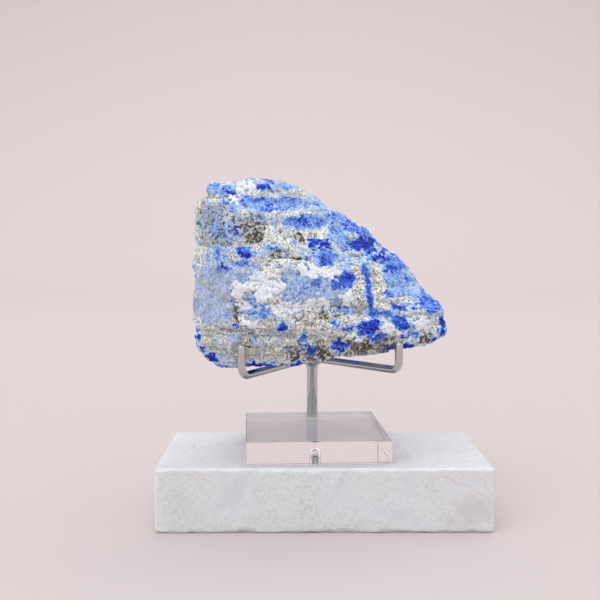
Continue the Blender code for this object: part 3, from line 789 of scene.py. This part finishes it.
def make_stone(stone):
    """The raw stone: its solid, worn smooth at the net's size, then broken up again much finer."""
    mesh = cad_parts["lapis_stone"].data.copy()
    bm = bmesh.new()
    bm.from_mesh(mesh)
    bmesh.ops.remove_doubles(bm, verts=bm.verts, dist=MERGE)
    bm.to_mesh(mesh)
    bm.free()
    piece = replace_object("raw_stone", mesh)
    net = piece.modifiers.new("fine net", "REMESH")
    net.mode = "VOXEL"
    net.voxel_size = stone.net_size
    mesh = apply_modifiers(piece)
    if 2 * len(mesh.polygons) > TRIANGLE_LIMIT:
        raise RuntimeError(f"the stone's net makes {2 * len(mesh.polygons)} triangles: make it coarser")
    points = neighbour_mean(mesh, vertex_vectors(mesh, "co"), SMOOTHING_ROUNDS)
    move_vertices(mesh, points)
    mesh.update()
    normals = vertex_vectors(mesh, "normal")
    level = neighbour_mean(mesh, points, HOLLOW_ROUNDS)
    hollow = ((level - points) * normals).sum(1) / HOLLOW_DEPTH
    fields = mineral_fields(points, normals, hollow)
    push = surface_relief(points / MM, fields) * stone.relief * MM
    push = np.minimum(push, steel_gap(points) - STEEL_CLEARANCE)
    way = neighbour_mean(mesh, normals, WAY_ROUNDS)
    way /= np.linalg.norm(way, axis=1)[:, None]
    points = points + way * push[:, None]
    move_vertices(mesh, points)
    # How far each point is sunk below its neighbours: the crevices, which the material darkens with painted
    # shade
    level = neighbour_mean(mesh, points, CREVICE_ROUNDS)
    sunk = ((level - points) * way).sum(1) / CREVICE_DEPTH
    fields["crevice_shade"] = CREVICE_SHADE_SHARE * step(sunk, 0.2, 1.6)
    keep_fields(mesh, fields)
    mesh.materials.clear()
    mesh.materials.append(lapis_lazuli_broken(stone))
    smooth(mesh)
    mesh.update()
    place_piece(piece, "lapis_stone")


def rounded_route(start, corner, end, bend_radius, steps=14):
    """The wire's line, from the hub to its tip, with its corner turned into an arc."""
    inward, outward = (corner - start).normalized(), (end - corner).normalized()
    turn = inward.angle(outward)
    back = bend_radius * math.tan(turn / 2)
    centre = corner - inward * back + (outward - inward * inward.dot(outward)).normalized() * bend_radius
    axis = inward.cross(outward).normalized()
    arm = corner - inward * back - centre
    arc = [centre + Matrix.Rotation(turn * i / steps, 3, axis) @ arm for i in range(steps + 1)]
    return [start, *arc, end]


def wire_mesh(name, line, radius, dome):
    """A bent wire with a sawn inner end and a rounded tip."""
    inward = (line[1] - line[0]).normalized()
    outward = (line[-1] - line[-2]).normalized()
    sections = [(line[0], inward, radius)]
    for before, here, after in zip(line, line[1:], line[2:]):
        sections.append((here, (after - before).normalized(), radius))
    for i in range(WIRE_TIP_STEPS + 1):
        angle = math.pi / 2 * i / WIRE_TIP_STEPS
        size = radius - dome + dome * math.cos(angle)
        sections.append((line[-1] - outward * (dome - dome * math.sin(angle)), outward, size))
    side = inward.cross(outward).normalized()
    bm = bmesh.new()
    rings = []
    for centre, way, size in sections:
        up = side.cross(way).normalized()
        turns = [2 * math.pi * i / WIRE_SIDES for i in range(WIRE_SIDES)]
        rings.append([bm.verts.new(centre + (side * math.cos(a) + up * math.sin(a)) * size) for a in turns])
    for low, high in zip(rings, rings[1:]):
        for i in range(WIRE_SIDES):
            j = (i + 1) % WIRE_SIDES
            bm.faces.new((low[i], low[j], high[j], high[i]))
    bm.faces.new(list(reversed(rings[0])))
    bm.faces.new(rings[-1])
    bmesh.ops.recalc_face_normals(bm, faces=bm.faces)
    mesh = made_mesh(bm, name)
    smooth(mesh, 50.0)
    return mesh


def make_steel(stand):
    """The post with its hub, and the three bent wires set in it."""
    steel = stainless_steel_polished(stand)
    low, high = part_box("post")
    hub = Vector(((low.x + high.x) / 2, (low.y + high.y) / 2, high.z - HUB_HEIGHT / 2))
    profile = [(0.0, low.z), (POST_RADIUS - POST_CHAMFER, low.z), (POST_RADIUS, low.z + POST_CHAMFER)]
    profile.append((POST_RADIUS, hub.z - HUB_HEIGHT / 2 - HUB_FILLET))
    swell = HUB_RADIUS - POST_RADIUS
    for i in range(1, HUB_STEPS):
        angle = -math.pi / 2 + math.pi * i / HUB_STEPS
        out = POST_RADIUS + swell * math.cos(angle) ** HUB_FULLNESS
        profile.append((out, hub.z + HUB_HEIGHT / 2 * math.sin(angle)))
    profile += [(POST_RADIUS * HUB_TOP_SHARE, high.z), (0.0, high.z)]
    mesh = turned("steel_post", profile, (hub.x, hub.y))
    smooth(mesh, 40.0)
    place_piece(replace_object("steel_post", mesh, steel), "post")
    for node, side, rise in ARMS:
        lo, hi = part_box(node)
        reach_x = {"left": lo.x + WIRE_RADIUS, "right": hi.x - WIRE_RADIUS, "rear": None}[side]
        if side == "rear":
            away = Vector((math.sin(-STAND_TURN), math.cos(STAND_TURN)))
            reach = (hi.y - WIRE_RADIUS - hub.y) / away.y
            bend = Vector((hub.x + away.x * reach, hub.y + away.y * reach, hub.z + rise))
        else:
            bend = Vector((reach_x, lo.y + WIRE_RADIUS, hub.z + rise))
        out = Vector((bend.x - hub.x, bend.y - hub.y, 0)).normalized()
        start = hub + out * (HUB_RADIUS - HUB_HOLD)
        line = rounded_route(start, bend, Vector((bend.x, bend.y, hi.z)), WIRE_BEND)
        name = "steel_" + node
        mesh = wire_mesh(name, line, WIRE_RADIUS, WIRE_RADIUS * WIRE_TIP_DOME)
        place_piece(replace_object(name, mesh, steel), node)


def make_acrylic(stand):
    """The clear block, its edges just broken, with a blind hole that ends in the drill's cone."""
    low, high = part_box("acrylic_block")
    slab_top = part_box("marble_slab")[1].z
    base = slab_top + BLOCK_SEAT
    spread = math.cos(STAND_TURN) + math.sin(STAND_TURN)
    side = (high.x - low.x) / spread
    bm = bmesh.new()
    bmesh.ops.create_cube(bm, size=1.0)
    bmesh.ops.scale(bm, vec=(side, side, high.z - base), verts=bm.verts)
    bmesh.ops.bevel(bm, geom=list(bm.edges), offset=BLOCK_POLISH, segments=3, profile=0.5, affect="EDGES")
    bmesh.ops.rotate(bm, verts=bm.verts, matrix=Matrix.Rotation(STAND_TURN, 3, "Z"))
    centre = Vector(((low.x + high.x) / 2, (low.y + high.y) / 2, (base + high.z) / 2))
    bmesh.ops.translate(bm, verts=bm.verts, vec=centre)
    mesh = made_mesh(bm, "clear_block")
    piece = replace_object("clear_block", mesh, acrylic_polished(stand))
    post_low, post_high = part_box("post")
    radius = POST_RADIUS + HOLE_SLACK
    floor = base + HOLE_FLOOR
    top = high.z + DRILL_OVERRUN
    profile = ((0.0, floor), (radius, floor + radius * DRILL_CONE), (radius, top), (0.0, top))
    across = ((post_low.x + post_high.x) / 2, (post_low.y + post_high.y) / 2)
    drill = replace_object("drill", turned("drill", profile, across))
    cut = piece.modifiers.new("drilled hole", "BOOLEAN")
    cut.operation = "DIFFERENCE"
    cut.solver = "EXACT"
    cut.object = drill
    mesh = apply_modifiers(piece)
    bpy.data.objects.remove(drill)
    smooth(mesh, 12.0)
    place_piece(piece, "acrylic_block")


def edge_dense(low, high, step_size):
    """Places from low to high, close together near both ends."""
    near = [low + d * MM for d in SLAB_EDGE_ROWS_MM]
    count = round((high - low - 2 * SLAB_EDGE_ROWS_MM[-1] * MM) / step_size)
    first, last = near[-1], high - SLAB_EDGE_ROWS_MM[-1] * MM
    middle = [first + (last - first) * i / count for i in range(1, count)]
    return near + middle + [high - d * MM for d in reversed(SLAB_EDGE_ROWS_MM)]


def make_slab(stand):
    """The marble slab: sawn faces, and edges that small chips have broken away from."""
    low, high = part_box("marble_slab")
    rows = [edge_dense(low[i], high[i], SLAB_NET) for i in range(3)]
    last = [len(row) - 1 for row in rows]
    bm = bmesh.new()
    made = {}

    def corner(i, j, k):
        if (i, j, k) not in made:
            made[i, j, k] = bm.verts.new((rows[0][i], rows[1][j], rows[2][k]))
        return made[i, j, k]

    for axis in range(3):
        one, two = (axis + 1) % 3, (axis + 2) % 3
        for end in (0, last[axis]):
            for a in range(last[one]):
                for b in range(last[two]):
                    square = []
                    for da, db in ((0, 0), (1, 0), (1, 1), (0, 1)):
                        index = [0, 0, 0]
                        index[axis], index[one], index[two] = end, a + da, b + db
                        square.append(corner(*index))
                    if end == 0:
                        square.reverse()
                    bm.faces.new(square)
    mesh = made_mesh(bm, "sawn_slab")
    points = vertex_vectors(mesh, "co")
    points_mm = points / MM
    to_low, to_high = points_mm - np.array(low) / MM, np.array(high) / MM - points_mm
    depth = np.minimum(to_low, to_high)
    inward = np.where(to_low < to_high, 1.0, -1.0)
    chips = sampled(layered, points_mm, SLAB_CHIP_SPACING_MM)
    nicks = sampled(noise.noise, points_mm, SLAB_NICK_SPACING_MM, 4.0)
    wear = SLAB_WEAR_MM + SLAB_CHIPS_MM * np.maximum(0, chips)
    wear += SLAB_NICKS_MM * np.maximum(0, nicks)
    chipped = np.zeros(len(points))
    for one, two in ((0, 1), (1, 2), (0, 2)):
        bite = np.maximum(0, wear - depth[:, one] - depth[:, two]) / 2
        points_mm[:, one] += inward[:, one] * bite
        points_mm[:, two] += inward[:, two] * bite
        chipped = np.maximum(chipped, step(bite, 0.05, 0.35))
    move_vertices(mesh, points_mm * MM)
    stains = np.zeros(len(points))
    for place, size, share in SLAB_STAINS:
        away = np.linalg.norm((points_mm - np.array(place)) / np.array(size), axis=1)
        away += 0.5 * sampled(layered, points_mm, STAIN_FORMS_MM, 9.0)
        stains = np.maximum(stains, share * (1 - step(away, 0.4, 1.0)))
    foot = points_mm[:, 2] + FOOT_WANDER_MM * sampled(layered, points_mm, STAIN_FORMS_MM, 21.0)
    stains = np.maximum(stains, FOOT_SOIL * (1 - step(foot, 0.2, 1.4)))
    keep_fields(mesh, {"chipped": CHIPPED_SHARE * chipped, "stain": stains})
    smooth(mesh, 32.0)
    mesh.update()
    place_piece(replace_object("sawn_slab", mesh, marble_sawn(stand)), "marble_slab")


def pale_room(stage):
    """Light from all round, with two wide soft glows in it, as from windows above."""
    world = bpy.data.worlds.new("pale room")
    world.use_nodes = True
    world.node_tree.nodes.clear()
    way = add_node(world, "TexCoord").outputs["Generated"]
    strength = stage.room_light
    for glow_way, brightness in ((KEY_WAY, stage.key_light), (TOP_WAY, stage.top_light)):
        towards = add_node(
            world, "VectorMath", {0: way, 1: glow_way.normalized()}, operation="DOT_PRODUCT"
        ).outputs["Value"]
        towards = add_node(world, "Math", {0: towards, 1: 0.0}, operation="MAXIMUM")
        glow = add_node(world, "Math", {0: towards, 1: GLOW_FOCUS}, operation="POWER")
        strength = add_node(world, "Math", {0: glow, 1: brightness, 2: strength}, operation="MULTIPLY_ADD")
    sky = add_node(world, "Background", {"Color": tuple(stage.room), "Strength": strength})
    add_node(world, "OutputWorld", {"Surface": sky})
    return world


def make_stage(stage):
    """The floor with its sweep, the light on it, the pale room and the eye."""
    bm = bmesh.new()
    half = FLOOR_WIDTH / 2
    profile = [(-FLOOR_FRONT, 0.0), (FLOOR_BACK, 0.0)]
    for i in range(1, SWEEP_STEPS + 1):
        angle = math.pi / 2 * i / SWEEP_STEPS
        profile.append((FLOOR_BACK + SWEEP_RADIUS * math.sin(angle), SWEEP_RADIUS * (1 - math.cos(angle))))
    profile.append((FLOOR_BACK + SWEEP_RADIUS, WALL_TOP))
    rows = [[bm.verts.new((x, y, z)) for x in (-half, half)] for y, z in profile]
    for near, far in zip(rows, rows[1:]):
        bm.faces.new((near[0], near[1], far[1], far[0]))
    mesh = made_mesh(bm, "floor")
    smooth(mesh)
    replace_object("floor", mesh, painted_board(stage))
    lamp = bpy.data.lights.new("backdrop", "AREA")
    lamp.shape = "SQUARE"
    lamp.size = BACKDROP_SIZE
    lamp.energy = stage.backdrop_power
    light = replace_object("backdrop", lamp)
    light.location = BACKDROP_PLACE
    light.rotation_euler = (BACKDROP_AIM - BACKDROP_PLACE).to_track_quat("-Z", "Y").to_euler()
    bpy.context.scene.world = pale_room(stage)
    camera = bpy.data.cameras.new("eye")
    camera.sensor_width = SENSOR_MM
    camera.lens = FOCAL_PX / PICTURE_SIDE_PX * SENSOR_MM
    camera.clip_start = NEAREST_SEEN
    eye = replace_object("eye", camera)
    eye.location = EYE
    eye.rotation_euler = (math.pi / 2 - EYE_DOWN, 0, -EYE_RIGHT)
    bpy.context.scene.camera = eye
    bpy.context.scene.view_settings.view_transform = "Standard"


def colour_setting(name, description, colour_hex):
    """A colour that the sidebar shows, from its sRGB hex value."""
    return FloatVectorProperty(
        name=name, description=description, subtype="COLOR", size=4, min=0.0, max=1.0,
        default=linear(colour_hex),
    )


class StoneSettings(bpy.types.PropertyGroup):
    net_size: FloatProperty(
        name="Net size", description="Width of the fine mesh's squares",
        default=0.58 * MM, min=0.5 * MM, max=4 * MM, unit="LENGTH", precision=5,
    )
    relief: FloatProperty(
        name="Relief", description="Share of the broken surface's full relief",
        default=1.0, min=0.0, max=1.5, subtype="FACTOR",
    )
    palest_blue: colour_setting("Palest blue", "Lazurite thinly spread in calcite", "#BCD4F4")
    sky_blue: colour_setting("Sky blue", "Lazurite and calcite in equal parts", "#739FF0")
    royal_blue: colour_setting("Royal blue", "Nearly pure lazurite", "#284AD8")
    navy: colour_setting("Navy", "Pure lazurite in the deepest flecks", "#0C1684")
    matrix: colour_setting("Matrix", "Cream diopside between the blue bands", "#D6D7CC")
    calcite: colour_setting("Calcite", "White crust and veins", "#EEF4FC")
    skin: colour_setting("Skin", "Weathered grey lavender face", "#909DB6")
    dirt: colour_setting("Dirt", "Soil left in the pits", "#43372B")


class StandSettings(bpy.types.PropertyGroup):
    steel: colour_setting("Steel", "Reflection of the polished steel", "#C4C2C3")
    acrylic: colour_setting("Acrylic", "Tint of the clear block", "#FFFDFE")
    marble: colour_setting("Marble", "Body colour of the slab", "#DDDDDE")


class StageSettings(bpy.types.PropertyGroup):
    floor: colour_setting("Floor", "Paint of the floor board", "#D0C4C3")
    room: colour_setting("Room", "Colour of the light from all round", "#F8FAFD")
    room_light: FloatProperty(
        name="Room light", description="Strength of the light from all round", default=0.91, min=0.0
    )
    key_light: FloatProperty(
        name="Key light", description="Strength of the wide glow above and to the left", default=1.85, min=0.0
    )
    top_light: FloatProperty(
        name="Top light", description="Strength of the wide glow above and behind", default=1.75, min=0.0
    )
    backdrop_power: FloatProperty(
        name="Backdrop light", description="Power of the light on the sweep",
        default=4.6, min=0.0, unit="POWER",
    )


class SPECIMEN_OT_stone(bpy.types.Operator):
    """Make the raw stone, finely broken, with its blue bands and white crusts"""

    bl_idname = "specimen.stone"
    bl_label = "Raw stone"

    def execute(self, context):
        make_stone(context.scene.specimen_stone)
        return {"FINISHED"}


class SPECIMEN_OT_steel(bpy.types.Operator):
    """Make the post and the three bent wires"""

    bl_idname = "specimen.steel"
    bl_label = "Post and wires"

    def execute(self, context):
        make_steel(context.scene.specimen_stand)
        return {"FINISHED"}


class SPECIMEN_OT_block(bpy.types.Operator):
    """Make the clear acrylic block with its drilled hole"""

    bl_idname = "specimen.block"
    bl_label = "Acrylic block"

    def execute(self, context):
        make_acrylic(context.scene.specimen_stand)
        return {"FINISHED"}


class SPECIMEN_OT_slab(bpy.types.Operator):
    """Make the sawn marble slab with its chipped edges"""

    bl_idname = "specimen.slab"
    bl_label = "Marble slab"

    def execute(self, context):
        make_slab(context.scene.specimen_stand)
        return {"FINISHED"}


class SPECIMEN_OT_stage(bpy.types.Operator):
    """Make the floor, the lights and the camera"""

    bl_idname = "specimen.stage"
    bl_label = "Floor, lights and camera"

    def execute(self, context):
        make_stage(context.scene.specimen_stage)
        return {"FINISHED"}


class SPECIMEN_PT_panel(bpy.types.Panel):
    """Lists the pieces and what can be changed in them"""

    bl_idname = "SPECIMEN_PT_panel"
    bl_label = "Raw lapis lazuli"
    bl_space_type = "VIEW_3D"
    bl_region_type = "UI"
    bl_category = "Specimen"

    def draw(self, context):
        for operators, settings in PANEL_PARTS:
            box = self.layout.box()
            for operator in operators:
                box.operator(operator.bl_idname)
            group = getattr(context.scene, settings)
            for name in group.bl_rna.properties.keys():
                if name not in ("rna_type", "name"):
                    box.prop(group, name)


PANEL_PARTS = (
    ((SPECIMEN_OT_stone,), "specimen_stone"),
    ((SPECIMEN_OT_steel, SPECIMEN_OT_block, SPECIMEN_OT_slab), "specimen_stand"),
    ((SPECIMEN_OT_stage,), "specimen_stage"),
)
SETTINGS = {
    "specimen_stone": StoneSettings,
    "specimen_stand": StandSettings,
    "specimen_stage": StageSettings,
}
CLASSES = (
    *SETTINGS.values(),
    SPECIMEN_OT_stone,
    SPECIMEN_OT_steel,
    SPECIMEN_OT_block,
    SPECIMEN_OT_slab,
    SPECIMEN_OT_stage,
    SPECIMEN_PT_panel,
)


def register():
    for made in CLASSES:
        bpy.utils.register_class(made)
    for name, group in SETTINGS.items():
        setattr(bpy.types.Scene, name, PointerProperty(type=group))


def unregister():
    for name in SETTINGS:
        delattr(bpy.types.Scene, name)
    for made in reversed(CLASSES):
        bpy.utils.unregister_class(made)


def main():
    register()
    bpy.ops.specimen.stone()
    bpy.ops.specimen.steel()
    bpy.ops.specimen.block()
    bpy.ops.specimen.slab()
    bpy.ops.specimen.stage()


if __name__ == "__main__":
    main()
